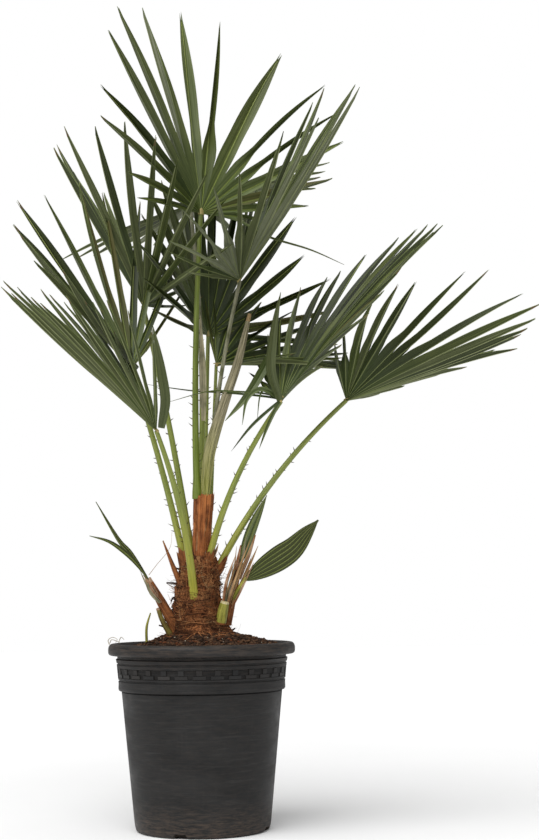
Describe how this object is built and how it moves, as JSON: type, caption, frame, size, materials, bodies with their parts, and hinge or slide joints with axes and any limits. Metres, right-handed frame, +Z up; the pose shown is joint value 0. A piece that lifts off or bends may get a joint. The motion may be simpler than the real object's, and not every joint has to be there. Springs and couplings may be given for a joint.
{
  "type": "potted european fan palm",
  "caption": "Young fan palm with pleated fronds on long spiny stalks, a short fibrous trunk and side suckers, in a round black nursery pot.",
  "frame": {"origin": "centre of the pot's flat underside", "axes": "+Z up, +X to the right and +Y away from someone who looks at the front of the plant"},
  "size_m": [0.6831, 0.6934, 1.0753],
  "materials": {
    "pot": "matte black moulded plastic with dry soil dust",
    "soil": "dark crumbly potting soil",
    "trunk": "rough brown fibre and old leaf bases",
    "sheath": "orange brown papery leaf sheath",
    "stalk": "satin yellow green leaf stalk",
    "leaf": "satin dark green pleated leaf",
    "spear": "grey green felted young leaf",
    "stub": "pale cut leaf stalk"
  },
  "bodies": {
    "root": {"pot": "pot", "soil": "soil", "trunk": "trunk", "sheath": "sheath", "spear": "spear", "trunk_bract": "trunk", "cut_stub": "stub", "sucker_left": "sheath", "sucker_left_stub": "stub", "sucker_right": "sheath", "sucker_right_stalk": "stalk", "sucker_right_spike_inner": "sheath", "sucker_right_spike_outer": "sheath", "soil_shoot": "stalk", "stalk_top": "stalk", "stalk_top_rear": "stalk", "stalk_upper_right": "stalk", "stalk_centre": "stalk", "stalk_centre_low": "stalk", "stalk_left_low": "stalk", "stalk_left_mid": "stalk", "stalk_left_upper": "stalk", "stalk_right": "stalk", "stalk_far_right": "stalk", "sucker_left_leaf_long": "leaf", "sucker_left_leaf_low": "leaf", "sucker_right_leaf_narrow": "leaf", "sucker_right_leaf_broad": "leaf", "blade_top": "leaf", "blade_top_rear": "leaf", "blade_upper_right": "leaf", "blade_centre": "leaf", "blade_centre_low": "leaf", "blade_left_low": "leaf", "blade_left_mid": "leaf", "blade_left_upper": "leaf", "blade_right": "leaf", "blade_far_right": "leaf"}
  },
  "joints": []
}
